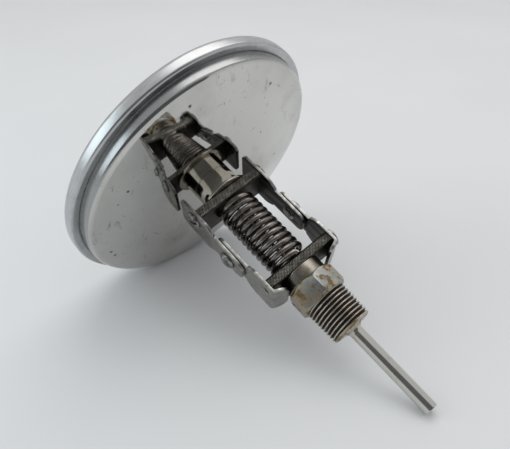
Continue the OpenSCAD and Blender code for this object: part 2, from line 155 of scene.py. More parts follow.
# Dial, pointer and the print on the dial
SCALE_END_UNIT = 120
SCALE_START = 225
DEGREES_PER_UNIT = 2.25
SCALE_INSET = 8.0
FIGURE_INSET = 21.5
FIGURE_SIZE = 6.4
UNIT_SIZE = 6.0
UNIT_Z = -26
PRINT_T = 0.02
POINTER_T = 0.5
POINTER_EYE_R = 0.8
DIAL_SCREW_R = 2.0

# Table under the object: it touches the bezel, a little in front of its back edge, and the tip of the stem
TABLE_ROLL = math.radians(21)
TOUCH_INSET = 2.0
table_slope = math.atan2(bezel_r - stem_r, stem_tip_y - wall_end_y + TOUCH_INSET)
TABLE_UP = Vector((-math.cos(table_slope) * math.sin(TABLE_ROLL), -math.sin(table_slope),
                   math.cos(table_slope) * math.cos(TABLE_ROLL)))
table_level = -math.sin(table_slope) * stem_tip_y - math.cos(table_slope) * stem_r


# Mesh helpers

def placed(name, data):
    """Adds an object to the scene."""
    made = bpy.data.objects.new(name, data)
    bpy.context.collection.objects.link(made)
    return made


def outwards(form, mesh):
    """Turns all faces of a closed form outwards and gives it to a mesh."""
    bmesh.ops.recalc_face_normals(form, faces=form.faces)
    if form.calc_volume(signed=True) < 0:
        bmesh.ops.reverse_faces(form, faces=form.faces)
    form.to_mesh(mesh)
    form.free()


def split(form, at, normal, clear=False):
    """Cuts the faces of a form along a plane, and takes off what lies beyond it if asked."""
    bmesh.ops.bisect_plane(form, geom=form.verts[:] + form.edges[:] + form.faces[:], plane_co=at,
                           plane_no=normal, clear_outer=clear)


def piece(name, points, faces):
    """Mesh object from points in millimetres, welded and with its faces turned outwards."""
    mesh = bpy.data.meshes.new(name)
    mesh.from_pydata([Vector(p) * MM for p in points], [], faces)
    form = bmesh.new()
    form.from_mesh(mesh)
    bmesh.ops.remove_doubles(form, verts=form.verts, dist=2e-7)
    outwards(form, mesh)
    return placed(name, mesh)


STRAIGHT = math.radians(178)


def rounded(corners, steps=5):
    """Closed outline of (a, b, radius) corners, with each corner turned into an arc."""
    outline = []
    for i, (a, b, radius) in enumerate(corners):
        here = Vector((a, b))
        back = Vector(corners[i - 1][:2]) - here
        ahead = Vector(corners[(i + 1) % len(corners)][:2]) - here
        turn = back.angle(ahead)
        if radius <= 0 or turn > STRAIGHT:
            outline.append((a, b))
            continue
        reach = min(radius / math.tan(turn / 2), back.length * 0.49, ahead.length * 0.49)
        radius = reach * math.tan(turn / 2)
        back.normalize()
        ahead.normalize()
        centre = here + (back + ahead).normalized() * (radius / math.sin(turn / 2))
        first = here + back * reach - centre
        last = here + ahead * reach - centre
        outline += [tuple(centre + first.lerp(last, k / steps).normalized() * radius)
                    for k in range(steps + 1)]
    return outline


def revolve(name, corners, segments=160, steps=5):
    """Solid turned about the stem axis from an outline of (radius, y, rounding) corners."""
    outline = rounded(corners, steps)
    count = len(outline)
    points, faces = [], []
    for s in range(segments):
        angle = 2 * math.pi * s / segments
        points += [(r * math.cos(angle), y, r * math.sin(angle)) for r, y in outline]
        here, there = s * count, (s + 1) % segments * count
        faces += [(here + i, here + (i + 1) % count, there + (i + 1) % count, there + i)
                  for i in range(count)]
    return piece(name, points, faces)


def loft(name, rings):
    """Solid through a row of rings with the same number of points, with both ends closed."""
    count = len(rings[0])
    last = (len(rings) - 1) * count
    faces = [(at + i, at + (i + 1) % count, at + count + (i + 1) % count, at + count + i)
             for at in range(0, last, count) for i in range(count)]
    faces += [tuple(range(count)), tuple(range(last, last + count))]
    return piece(name, [point for ring in rings for point in ring], faces)


def tube(name, path, radius, sides):
    """Round wire along a path, with closed ends."""
    path = [Vector(p) for p in path]
    angles = [2 * math.pi * k / sides for k in range(sides)]
    side = (path[1] - path[0]).orthogonal().normalized()
    rings = []
    for i, centre in enumerate(path):
        way = (path[min(i + 1, len(path) - 1)] - path[max(i - 1, 0)]).normalized()
        side = (side - way * side.dot(way)).normalized()
        third = way.cross(side)
        rings.append([centre + (side * math.cos(a) + third * math.sin(a)) * radius for a in angles])
    return loft(name, rings)


BOX_FACES = ((0, 1, 3, 2), (4, 6, 7, 5), (0, 4, 5, 1), (2, 3, 7, 6), (0, 2, 6, 4), (1, 5, 7, 3))


def box(name, xs, ys, zs):
    """Plain box between two places on each axis, for cutting slots."""
    return piece(name, [(x, y, z) for x in xs for y in ys for z in zs], BOX_FACES)


def circle(a, b, radius, count=40):
    """Outline of a round hole."""
    return [(a + radius * math.cos(2 * math.pi * k / count), b + radius * math.sin(2 * math.pi * k / count))
            for k in range(count)]


def slab(name, outlines, thickness, edge, place, cuts=()):
    """Sheet with rounded edges from a rim and its holes, cut across at the given lengths and then
    laid by place, which turns (along, across, through) into a point of the frame."""
    curve = bpy.data.curves.new(name, "CURVE")
    curve.dimensions = "2D"
    curve.fill_mode = "BOTH"
    curve.extrude = thickness / 2 - edge
    curve.bevel_depth = edge
    curve.bevel_resolution = 2
    curve.offset = -edge
    for outline in outlines:
        spline = curve.splines.new("POLY")
        spline.points.add(len(outline) - 1)
        for point, (a, b) in zip(spline.points, outline):
            point.co = (a, b, 0, 1)
        spline.use_cyclic_u = True
    holder = bpy.data.objects.new(name, curve)
    mesh = bpy.data.meshes.new_from_object(holder)
    bpy.data.objects.remove(holder)
    form = bmesh.new()
    form.from_mesh(mesh)
    bmesh.ops.remove_doubles(form, verts=form.verts, dist=1e-4)
    for at in cuts:
        split(form, (at, 0, 0), (1, 0, 0))
    for vert in form.verts:
        vert.co = Vector(place(*vert.co)) * MM
    outwards(form, mesh)
    return placed(name, mesh)


def cut(target, *cutters):
    """Takes the cutters out of the target and removes them."""
    for cutter in cutters:
        step = target.modifiers.new("cut", "BOOLEAN")
        step.object = cutter
        step.solver = "EXACT"
    bake(target)
    for cutter in cutters:
        bpy.data.objects.remove(cutter)
    return target


def bake(target):
    """Applies the modifiers of an object to its mesh."""
    bpy.context.view_layer.update()
    graph = bpy.context.evaluated_depsgraph_get()
    mesh = bpy.data.meshes.new_from_object(target.evaluated_get(graph), preserve_all_data_layers=True,
                                           depsgraph=graph)
    target.modifiers.clear()
    target.data = mesh
    return target


def bevel(target, width, limit, segments):
    """Rounds the sharp edges of an object."""
    step = target.modifiers.new("bevel", "BEVEL")
    step.width = width * MM
    step.segments = segments
    step.limit_method = "ANGLE"
    step.angle_limit = math.radians(limit)
    return bake(target)


def move(target, matrix):
    """Moves the mesh of an object, with the matrix in millimetres."""
    target.data.transform(Matrix.Scale(MM, 4) @ matrix @ Matrix.Scale(1 / MM, 4))
    return target


def store(target, name, measure, domain="POINT"):
    """Keeps a number for each point or face, which measure works out from its place in millimetres and
    its normal, for the materials to read."""
    mesh = target.data
    items = mesh.vertices if domain == "POINT" else mesh.polygons
    places = [item.co / MM if domain == "POINT" else item.center / MM for item in items]
    values = [measure(place, item.normal) for place, item in zip(places, items)]
    mesh.attributes.new(name, "FLOAT", domain).data.foreach_set("value", values)
    return target


def dress(target, material, body, nodes, sharp=32):
    """Shades a piece, gives it its material and body, and hides the CAD nodes it stands for."""
    mesh = target.data
    mesh.polygons.foreach_set("use_smooth", [True] * len(mesh.polygons))
    mesh.set_sharp_from_angle(angle=math.radians(sharp))
    mesh.materials.clear()
    mesh.materials.append(material)
    if body:
        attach(target, body)
    if nodes:
        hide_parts(*nodes)
    return target


# Materials

class Finish:
    """Node material on a Principled shader. Each step adds nodes and returns an output socket."""

    def __init__(self, name, metallic=1.0):
        self.material = bpy.data.materials.new(name)
        self.material.use_nodes = True
        self.tree = self.material.node_tree
        self.shader = self.tree.nodes["Principled BSDF"]
        self.shader.inputs["Metallic"].default_value = metallic
        self.place = self.node("TexCoord").outputs["Object"]

    def give(self, value, socket):
        """Links a socket to an output, or sets its value."""
        if isinstance(value, bpy.types.NodeSocket):
            self.tree.links.new(value, socket)
        else:
            socket.default_value = value

    def node(self, kind, **inputs):
        """Adds a node. Its inputs go by name, or by number as i0, i1 and so on."""
        made = self.tree.nodes.new("ShaderNode" + kind)
        for name, value in inputs.items():
            numbered = name[0] == "i" and name[1:].isdigit()
            self.give(value, made.inputs[int(name[1:]) if numbered else name])
        return made

    def stretched(self, factors, turn=0.0):
        turned = self.node("Mapping", Vector=self.place, Rotation=(0, turn, 0)).outputs["Vector"]
        return self.node("Mapping", Vector=turned, Scale=factors).outputs["Vector"]

    def cells(self, scale):
        """Distance to the nearest of many scattered points."""
        return self.node("TexVoronoi", Vector=self.place, Scale=float(scale)).outputs["Distance"]

    def noise(self, scale, detail=4, roughness=0.55, place=None):
        return self.node("TexNoise", Vector=place or self.place, Scale=scale, Detail=detail,
                         Roughness=roughness).outputs["Fac"]

    def levels(self, value, low, high, to_low=0.0, to_high=1.0):
        made = self.node("MapRange", i0=value, i1=low, i2=high, i3=to_low, i4=to_high)
        made.interpolation_type = "SMOOTHSTEP"
        return made.outputs[0]

    def patches(self, scale, low, high, to_low=0.0, to_high=1.0, **kind):
        """Noise whose contrast is raised between two levels."""
        return self.levels(self.noise(scale, **kind), low, high, to_low, to_high)

    def math(self, operation, first, second):
        made = self.node("Math", i0=first, i1=second)
        made.operation = operation
        return made.outputs[0]

    def mix(self, factor, first, second):
        made = self.node("Mix")
        made.data_type = "RGBA"
        for socket, value in ((0, factor), (6, first), (7, second)):
            self.give((*value, 1.0) if isinstance(value, tuple) else value, made.inputs[socket])
        return made.outputs[2]

    def bump(self, height, strength, distance):
        """Unevenness of up to a distance in millimetres."""
        made = self.node("Bump", Height=height, Strength=strength, Distance=distance * MM)
        self.link(made.outputs["Normal"], "Normal")

    def link(self, value, socket):
        self.tree.links.new(value, self.shader.inputs[socket])

    def colour(self, value):
        self.link(value, "Base Color")

    def gloss(self, value):
        self.link(value, "Roughness")

    def attribute(self, name):
        made = self.node("Attribute")
        made.attribute_name = name
        return made.outputs["Fac"]


def metal(name, colour, tarnish, rough, tarnish_scale=120, tarnish_low=0.5, tarnish_high=0.7,
          grain=(1, 1, 1), grain_scale=1500, bump=0.02, rough_span=0.12):
    """Bare or plated metal: patches of tarnish, fine directional grain and uneven gloss."""
    made = Finish(name)
    patches = made.patches(tarnish_scale, tarnish_low, tarnish_high)
    fine = made.noise(grain_scale, detail=2, place=made.stretched(grain))
    made.colour(made.mix(patches, colour, tarnish))
    uneven = made.math("ADD", made.math("MULTIPLY", fine, 0.6), made.math("MULTIPLY", patches, 0.4))
    made.gloss(made.levels(uneven, 0.2, 0.9, rough, rough + rough_span))
    made.bump(fine, bump, 0.05)
    return made.material


def case_steel():
    """Bright sheet with hairlines, scratches, specks and dull stains. The side wall is satin, by the
    share stored in the mesh."""
    made = Finish("case_steel")
    wall = made.attribute("wall")
    stains = made.patches(42, 0.50, 0.72, detail=6)
    clouds = made.patches(19, 0.42, 0.66, detail=3)
    smears = made.patches(210, 0.60, 0.76, detail=6, place=made.stretched((1, 1, 0.4)))
    colour = made.mix(stains, (0.66, 0.655, 0.63), (0.54, 0.525, 0.485))
    colour = made.mix(made.math("MULTIPLY", clouds, 0.5), colour, (0.46, 0.455, 0.43))
    colour = made.mix(made.math("MULTIPLY", smears, 0.55), colour, (0.38, 0.35, 0.30))
    specks = made.levels(made.cells(95), 0.05, 0.10, 1.0, 0.0)
    dots = made.levels(made.cells(310), 0.05, 0.12, 1.0, 0.0)
    sparse = made.patches(70, 0.54, 0.62, detail=1)
    marks = made.math("MAXIMUM", specks, made.math("MULTIPLY", dots, sparse))
    for turn, low in ((0.4, 0.81), (1.5, 0.82), (2.6, 0.83)):
        scratch = made.noise(1500, detail=0, place=made.stretched((1, 1, 0.06), turn))
        marks = made.math("MAXIMUM", marks, made.levels(scratch, low, low + 0.04, 0.0, 0.55))
    colour = made.mix(marks, colour, (0.15, 0.14, 0.12))
    made.colour(made.mix(wall, colour, (0.36, 0.365, 0.365)))
    hairs = made.patches(900, 0.45, 0.8, 0.03, 0.085, detail=2, place=made.stretched((1, 1, 0.06)))
    rough = made.math("ADD", hairs, made.math("MULTIPLY", smears, 0.2))
    made.gloss(made.math("ADD", rough, made.math("MULTIPLY", wall, 0.2)))
    made.bump(made.noise(16, detail=1), 0.06, 1.0)
    return made.material


def bezel_steel():
    """Satin ring with brushing that runs round it and a few dull spots."""
    made = Finish("bezel_steel")
    dull = made.patches(90, 0.50, 0.72, detail=5)
    lines = made.noise(1500, detail=3, roughness=0.7, place=made.stretched((0.10, 1.8, 0.10)))
    colour = made.mix(made.levels(lines, 0.3, 0.7), (0.46, 0.47, 0.475), (0.58, 0.59, 0.59))
    made.colour(made.mix(made.math("MULTIPLY", dull, 0.6), colour, (0.46, 0.45, 0.43)))
    made.gloss(made.levels(lines, 0.3, 0.8, 0.27, 0.38))
    made.bump(lines, 0.03, 0.05)
    return made.material


def plated_steel():
    """Dull zinc plating with pits and brown and olive stains."""
    made = Finish("plated_steel")
    cloudy = made.patches(330, 0.35, 0.7, detail=6)
    base = made.mix(cloudy, (0.35, 0.365, 0.36), (0.50, 0.49, 0.45))
    warm = made.patches(95, 0.42, 0.58, detail=3)
    base = made.mix(warm, base, (0.50, 0.425, 0.315))
    rust = made.patches(190, 0.50, 0.61, detail=7, roughness=0.65)
    base = made.mix(made.math("MULTIPLY", rust, 0.9), base, (0.20, 0.135, 0.055))
    pits = made.patches(900, 0.64, 0.74, detail=3)
    made.colour(made.mix(pits, base, (0.10, 0.09, 0.07)))
    made.gloss(made.levels(rust, 0.0, 1.0, 0.34, 0.62))
    made.bump(made.noise(700, detail=5), 0.25, 0.12)
    return made.material


def thread_steel():
    """Cut thread: worn bright crests and brown, dark valleys, by the height stored in the mesh."""
    made = Finish("thread_steel")
    height = made.attribute("height")
    worn = made.math("ADD", height, made.patches(500, 0.3, 0.7, -0.12, 0.12))
    colour = made.mix(made.levels(worn, 0.55, 0.95), (0.085, 0.065, 0.052), (0.60, 0.56, 0.50))
    stain = made.patches(160, 0.55, 0.7)
    made.colour(made.mix(made.math("MULTIPLY", stain, 0.6), colour, (0.22, 0.16, 0.09)))
    made.gloss(made.levels(height, 0.4, 1.0, 0.6, 0.3))
    made.bump(made.noise(1500, detail=3), 0.15, 0.05)
    return made.material


def knurl_steel():
    """Dark steel whose knurl is worn pale on its points, by the height stored in the mesh."""
    made = Finish("dark_steel")
    worn = made.math("ADD", made.attribute("height"), made.patches(420, 0.3, 0.7, -0.15, 0.15))
    colour = made.mix(made.levels(worn, 0.35, 0.95), (0.055, 0.05, 0.043), (0.78, 0.75, 0.66))
    made.colour(colour)
    made.gloss(made.patches(300, 0.3, 0.7, 0.34, 0.5))
    made.bump(made.noise(1800, detail=3), 0.12, 0.05)
    return made.material


def plate_steel():
    """Pressed sheet: brushed grey outside and light on its sheared edges, with a near-black painted shade on
    the faces that look into the yoke, by the side stored in the mesh."""
    made = Finish("grey_steel")
    side = made.attribute("side")
    brushed = made.noise(1400, detail=3, place=made.stretched((1, 0.12, 1)))
    patches = made.patches(150, 0.45, 0.7, detail=5)
    outside = made.mix(brushed, (0.28, 0.27, 0.25), (0.50, 0.485, 0.455))
    outside = made.mix(made.math("MULTIPLY", patches, 0.65), outside, (0.15, 0.135, 0.115))
    scuffs = made.patches(650, 0.52, 0.66, detail=6, roughness=0.7)
    outside = made.mix(made.math("MULTIPLY", scuffs, 0.6), outside, (0.11, 0.10, 0.085))
    worn = made.patches(420, 0.35, 0.65)
    edges = made.mix(worn, (0.34, 0.335, 0.32), (0.62, 0.615, 0.59))
    # painted shade: the faces within the yoke are near black, standing in for the shade between the plates
    painted_shade_inside = made.mix(patches, (0.040, 0.038, 0.035), (0.065, 0.06, 0.05))
    colour = made.mix(made.levels(side, 0.2, 0.3), painted_shade_inside, edges)
    made.colour(made.mix(made.levels(side, 0.7, 0.8), colour, outside))
    made.gloss(made.levels(brushed, 0.2, 0.8, 0.24, 0.42))
    made.bump(brushed, 0.05, 0.05)
    return made.material


def painted(name, colour, shade, rough):
    """Paint or rubber with a slight unevenness."""
    made = Finish(name, metallic=0.0)
    made.colour(made.mix(made.patches(240, 0.3, 0.7), colour, shade))
    made.gloss(made.patches(500, 0.3, 0.7, rough, rough + 0.1))
    made.bump(made.noise(2500), 0.02, 0.04)
    return made.material


def window():
    """Clear glass with a trace of dust."""
    made = Finish("window_glass", metallic=0.0)
    made.shader.inputs["Transmission Weight"].default_value = 1.0
    made.colour(made.mix(made.noise(60), (0.97, 0.985, 0.98), (0.93, 0.96, 0.955)))
    made.gloss(made.patches(180, 0.5, 0.8, 0.0, 0.03, detail=5))
    return made.material


case_metal = case_steel()
bezel_metal = bezel_steel()
plated = plated_steel()
threaded = thread_steel()
knurled = knurl_steel()
glass = window()
boss_metal = metal("boss_steel", (0.64, 0.60, 0.53), (0.46, 0.40, 0.32), 0.11, grain=(0.08, 1, 0.08),
                   grain_scale=1200, bump=0.004, rough_span=0.07)
plate_metal = plate_steel()
neck_metal = metal("neck_steel", (0.29, 0.265, 0.225), (0.16, 0.14, 0.105), 0.27, tarnish_scale=150,
                   rough_span=0.1)
screw_metal = metal("screw_steel", (0.34, 0.345, 0.335), (0.12, 0.115, 0.10), 0.16, tarnish_scale=300,
                    tarnish_low=0.45)
spring_metal = metal("spring_steel", (0.30, 0.275, 0.255), (0.15, 0.13, 0.115), 0.24, tarnish_scale=260,
                     tarnish_low=0.40, tarnish_high=0.65, grain_scale=900, bump=0.03)
stem_metal = metal("stainless_stem", (0.62, 0.61, 0.57), (0.50, 0.47, 0.38), 0.14, tarnish_scale=70,
                   grain=(1, 0.05, 1), grain_scale=1600)
shaft_metal = metal("shaft_steel", (0.55, 0.55, 0.53), (0.40, 0.39, 0.36), 0.2)
bright_metal = metal("screw_bright", (0.68, 0.68, 0.66), (0.45, 0.44, 0.42), 0.15)
brass = metal("brass", (0.68, 0.52, 0.28), (0.42, 0.30, 0.14), 0.25)
bimetal = metal("bimetal", (0.60, 0.48, 0.30), (0.40, 0.30, 0.18), 0.3)
rubber = painted("black_rubber", (0.022, 0.022, 0.023), (0.035, 0.034, 0.033), 0.6)
dial_paint = painted("dial_white", (0.86, 0.855, 0.83), (0.82, 0.815, 0.79), 0.45)
ink = painted("pointer_black", (0.018, 0.018, 0.019), (0.03, 0.03, 0.031), 0.4)


# Hexagon fitting

def hexagon(name):
    """Hexagon whose corners are turned down to a cone at both ends."""
    columns = 6 * 24
    lines = []
    for c in range(columns):
        angle = 2 * math.pi * c / columns
        side = HEX_AF / 2 / math.cos(angle % (math.pi / 3) - math.pi / 6)
        down = side - HEX_CROWN
        turned = angle + math.pi / 6 - HEX_TURN
        lines.append([(r * math.cos(turned), y, r * math.sin(turned)) for r, y in (
            (HEX_CROWN, -HEX_H), (side, -HEX_H + down * 0.9), (side, -down * 0.6), (HEX_CROWN, 0))])
    return bevel(loft(name, list(zip(*lines))), 0.3, limit=22, segments=3)


def neck(name):
    return revolve(name, [(0, neck_y, 0), (NECK_R, neck_y, 0.5), (NECK_R, -HEX_H + 0.1, 0),
                          (0, -HEX_H + 0.1, 0)])


def thread(name):
    """Tapered pipe thread as one helical ridge, cut square at both ends."""
    section = ((0, 0), (0.04, 0), (0.09, 0.1), (0.40, 0.92), (0.45, 1), (0.55, 1), (0.60, 0.92),
               (0.91, 0.1), (0.96, 0), (1, 0))
    around = 120
    first, last = -THREAD_PITCH * 1.2, THREAD_L + 0.2
    steps = int((last - first) / THREAD_PITCH * around)
    points, faces = [], []
    for k in range(steps + 1):
        angle = -2 * math.pi * k / around
        for share, height in section:
            y = first + THREAD_PITCH * (k / around + share)
            r = THREAD_R - y * THREAD_TAPER - THREAD_DEPTH * (1 - height)
            points.append((r * math.cos(angle), y, r * math.sin(angle)))
        if k:
            here = k * len(section)
            faces += [(here + i, here + i + 1, here + i + 1 - len(section), here + i - len(section))
                      for i in range(len(section) - 1)]
    made = piece(name, points, faces)
    form = bmesh.new()
    form.from_mesh(made.data)
    for level, way in ((-0.2, -1), (THREAD_L - 0.25, 1)):
        split(form, (0, level * MM, 0), (0, way, 0), clear=True)
    bmesh.ops.holes_fill(form, edges=[edge for edge in form.edges if edge.is_boundary], sides=0)
    outwards(form, made.data)

    def height(place, normal):
        crest = THREAD_R - place.y * THREAD_TAPER
        return max(0.0, 1 - (crest - math.hypot(place.x, place.z)) / THREAD_DEPTH)

    return store(made, "height", height)


def collar(name):
    """End face of the thread and the small cone that the stem comes out of."""
    root = THREAD_R - THREAD_L * THREAD_TAPER - 0.25
    return revolve(name, [
        (0, THREAD_L - 0.9, 0), (root - 0.5, THREAD_L - 0.9, 0), (root, THREAD_L - 0.35, 0.2),
        (root - 0.35, THREAD_L, 0.2), (COLLAR_R, THREAD_L, 0.25), (COLLAR_R, THREAD_L + 0.3, 0.2),
        (stem_r + 0.3, collar_y, 0.3), (0, collar_y, 0)], steps=4)


dress(hexagon("hexagon"), plated, "stem", ["hex_fitting"], sharp=40)
dress(neck("neck"), neck_metal, "stem", ())
dress(thread("pipe_thread"), threaded, "stem", (), sharp=60)
dress(collar("thread_collar"), plated, "stem", ())


# Stem

def stem(name):
    return revolve(name, [
        (0, collar_y - 1, 0), (stem_r + 0.55, collar_y - 1, 0), (stem_r, collar_y + 1.1, 1.5),
        (stem_r, stem_tip_y, 0.45), (0, stem_tip_y, 0)], 96)


def tip_plug(name):
    """Welded end of the stem, a shade below its rim."""
    return revolve(name, [(0, stem_tip_y - 0.6, 0), (stem_r - 0.55, stem_tip_y - 0.6, 0),
                          (stem_r - 0.75, stem_tip_y + 0.02, 0.3), (0, stem_tip_y - 0.08, 0)], 64)


dress(stem("stem_tube_visual"), stem_metal, "stem", ["stem_tube"])
dress(tip_plug("tip_plug_visual"), stem_metal, "stem", ["tip_plug"])


# Yokes

def knurled_block(name, corners, big_side, hole_sides):
    """Bar with a diamond knurl on its two broad faces, a bore and its screw holes."""
    low, high = corners
    half = high.z
    chamfers = (BLOCK_CHAMFER, BLOCK_EDGE) if big_side < 0 else (BLOCK_EDGE, BLOCK_CHAMFER)
    start, end = low.y + chamfers[0], high.y - chamfers[1]
    columns, rows = 400, 40

    def depth(x, y):
        first = abs((x + y) / KNURL_PITCH % 1 - 0.5) * 2
        second = abs((x - y) / KNURL_PITCH % 1 - 0.5) * 2
        return KNURL_DEPTH * (1 - min(1.0, KNURL_STEEPNESS * (1 - max(first, second))))

    rings = []
    for c in range(columns, -1, -1):
        x = low.x + (high.x - low.x) * c / columns
        ring = []
        for way in (1, -1):
            for r in range(rows + 1):
                y = start + (end - start) * (r if way > 0 else rows - r) / rows
                ring.append((x, y, way * (half - depth(x, y))))
            near, far = (high.y, chamfers[1]) if way > 0 else (low.y, chamfers[0])
            ring += [(x, near, sign * way * (half - KNURL_DEPTH - far)) for sign in (1, -1)]
        rings.append(ring)
    made = store(loft(name, rings), "height",
                 lambda place, normal: max(KNURL_FLOOR, 1 - (half - abs(place.z)) / KNURL_DEPTH))
    middle = (low.y + high.y) / 2 + SCREW_OUT * (1 if big_side < 0 else -1)
    cutters = [revolve("bore", [(0, low.y - 1, 0), (BORE_R, low.y - 1, 0), (BORE_R, high.y + 1, 0),
                                (0, high.y + 1, 0)], 32)]
    for side in hole_sides:
        hole = revolve("hole", [(0, -8, 0), (SCREW_HOLE_R, -8, 0), (SCREW_HOLE_R, 1, 0), (0, 1, 0)], 24)
        cutters.append(move(hole, facing(high.x if side > 0 else low.x, middle, SCREW_UP, side)))
    return cut(made, *cutters)


def plate_corners(end, end_round, end_half):
    """Half outline of a side plate from its tongue to its wide end, as (along, across, radius)."""
    narrow = PLATE_NARROW / 2
    step = SHOULDER_L - SHOULDER_RUN
    return [(-tongue_l, narrow - 0.4, 4.4), (2, narrow, 20), (step - 0.4, narrow, 0.3),
            (step, narrow + SHOULDER_STEP, 0.8), (SHOULDER_L, plate_half, 6), (end, end_half, end_round)]


def both_halves(corners, steps=8):
    """Outline from its upper half, mirrored."""
    return rounded(corners + [(a, -b, r) for a, b, r in reversed(corners)], steps)


bend_angle = math.pi / 2 - TAB_ANGLE
bend_mid = BEND_R + PLATE_T / 2
bend_out = BEND_R + PLATE_T
tab_run_out = (bend_out * math.cos(bend_angle) - BEND_R + TAB_REACH) / math.sin(bend_angle)
bend_u = tab_end_y - bend_out * math.sin(bend_angle) - tab_run_out * math.cos(bend_angle) - pivot_y
tab_run_mid = (bend_mid * math.cos(bend_angle) - BEND_R + TAB_REACH) / math.sin(bend_angle)
stem_plate_end = bend_u + bend_mid * bend_angle + tab_run_mid


def plate(name, side, corners, place, cuts=()):
    """Side plate with its pivot hole and screw hole. It stores 0 where the plate material paints shade, on
    the faces that look into the yoke and those that face the dial, 1 on those that look out of it and those
    that face the stem, and 0.5 on the other edges."""
    def measure(spot, normal):
        if normal.x * side > 0.6 or normal.y > 0.6 and abs(normal.z) < 0.3:
            return 1.0
        if normal.x * side < -0.6 or normal.y < -0.6 and abs(normal.z) < 0.3:
            return 0.0
        return 0.5

    holes = [circle(0, 0, RIVET_R), circle(ARM_L + SCREW_OUT, SCREW_UP, SCREW_HOLE_R)]
    made = slab(name, [both_halves(corners), *holes], PLATE_T, PLATE_EDGE, place, cuts)
    return store(made, "side", measure, "FACE")


def inner_face(node, side):
    """Where a side plate looks into its yoke."""
    low, high = span(node)
    return high.x - PLATE_T if side > 0 else low.x + PLATE_T


def stem_plate(name, side, node):
    """Side plate of the stem yoke, whose foot is bent inwards over the hexagon."""
    inner = inner_face(node, side)

    def place(along, across, through):
        through += PLATE_T / 2
        if along <= bend_u:
            return inner + side * through, pivot_y + along, across
        angle = min((along - bend_u) / bend_mid, bend_angle)
        rest = max(0.0, along - bend_u - bend_mid * bend_angle)
        out = (BEND_R + through) * math.cos(angle) - BEND_R - rest * math.sin(angle)
        up = (BEND_R + through) * math.sin(angle) + rest * math.cos(angle)
        return inner + side * out, pivot_y + bend_u + up, across

    cuts = [bend_u + bend_mid * bend_angle * k / 10 for k in range(11)] + [stem_plate_end - 2.5]
    return plate(name, side, plate_corners(stem_plate_end, TAB_ROUND, plate_half - 0.3), place, cuts)


def head_plate(name, side, node):
    """Flat side plate of the head yoke."""
    inner = inner_face(node, side)

    def place(along, across, through):
        return inner + side * (through + PLATE_T / 2), pivot_y - along, across

    return plate(name, side, plate_corners(pivot_y - head_plates_end_y, 3.2, plate_half - 0.6), place)


def facing(x, y, z, side):
    """Matrix that turns a piece drawn along +Y so that it points to the side and stands at (x, y, z)."""
    return Matrix.Translation((x, y, z)) @ Matrix.Rotation(math.radians(-90 * side), 4, "Z")


def pan_screw(name, x, y, side):
    """Slotted screw with a low rounded head that seats on x."""
    head = revolve(name, [
        (0, -6, 0), (SCREW_R, -6, 0.4), (SCREW_R, 0, 0), (SCREW_HEAD_R, 0, 0.25), (SCREW_HEAD_R, 1.1, 0.7),
        (SCREW_HEAD_R - 1.4, SCREW_HEAD_H - 0.15, 2.5), (0, SCREW_HEAD_H, 0)], 72, steps=6)
    cut(head, box("slot", (-6, 6), (SCREW_HEAD_H - SLOT_DEPTH, 4), (-SLOT_W / 2, SLOT_W / 2)))
    return move(head, facing(x, y, SCREW_UP, side) @ Matrix.Rotation(SLOT_TURN, 4, "Y"))


def rivet(name, side, inner, outer):
    """Pivot rivet with a domed outer head and a small formed inner head."""
    made = revolve(name, [
        (0, inner - 1, 0), (2.4, inner - 1, 0.5), (RIVET_INNER_R, inner - 0.35, 0.4),
        (RIVET_INNER_R, inner, 0.1), (RIVET_R, inner, 0), (RIVET_R, outer, 0),
        (RIVET_HEAD_R, outer, 0.25), (RIVET_HEAD_R, outer + 0.8, 0.9),
        (RIVET_HEAD_R - 1.6, outer + RIVET_HEAD_H - 0.25, 3), (0, outer + RIVET_HEAD_H, 0)], 72, steps=7)
    return move(made, facing(0, pivot_y, 0, side))


def washers(name):
    """The two thin washers between the plates of the pivot."""
    low, high = span("pivot_washers")
    corners = [(RIVET_R, 0, 0), (WASHER_R, 0, 0.05), (WASHER_R, WASHER_T, 0.05), (RIVET_R, WASHER_T, 0)]
    return joined([move(revolve(name, corners, 64), facing(x, pivot_y, 0, 1))
                   for x in (low.x, high.x - WASHER_T)])


def joined(parts):
    """One object from several."""
    form = bmesh.new()
    for part in parts:
        form.from_mesh(part.data)
    form.to_mesh(parts[0].data)
    form.free()
    for part in parts[1:]:
        bpy.data.objects.remove(part)
    return parts[0]


dress(knurled_block("knurled_stem_block", stem_block, -1, (1, -1)), knurled, "stem", ["stem_block"])
dress(knurled_block("knurled_head_block", head_block, 1, ()), knurled, "bracket", ["head_block"])
for side, word in ((1, "left"), (-1, "right")):
    dress(stem_plate("bent_plate_" + word, side, "stem_plate_" + word), plate_metal, "stem",
          ["stem_plate_" + word], sharp=35)
    dress(head_plate("flat_plate_" + word, side, "head_plate_" + word), plate_metal, "bracket",
          ["head_plate_" + word], sharp=35)

head_outer = span("head_plate_left")[1].x, span("head_plate_right")[0].x
stem_outer = span("stem_plate_left")[1].x, span("stem_plate_right")[0].x
head_screw_y = pivot_y - ARM_L - SCREW_OUT
head_screws = joined([pan_screw("head_screw_pair", head_outer[0], head_screw_y, 1),
                      pan_screw("head_screw_other", head_outer[1], head_screw_y, -1)])
dress(head_screws, screw_metal, "bracket", ["head_block_screws"])
dress(pan_screw("stem_screw", stem_outer[1], pivot_y + ARM_L + SCREW_OUT, -1), screw_metal, "stem",
      ["stem_block_screw"])
rivets = joined([rivet("rivet_pair", 1, stem_outer[0] - PLATE_T, head_outer[0] + 0.1),
                 rivet("rivet_other", -1, -head_outer[1] - PLATE_T, -stem_outer[1])])
dress(rivets, screw_metal, "stem", ["pivot_rivets"])
dress(washers("washer_pair"), screw_metal, "stem", ["pivot_washers"])


# Springs

RINGS_PER_CURL = 48


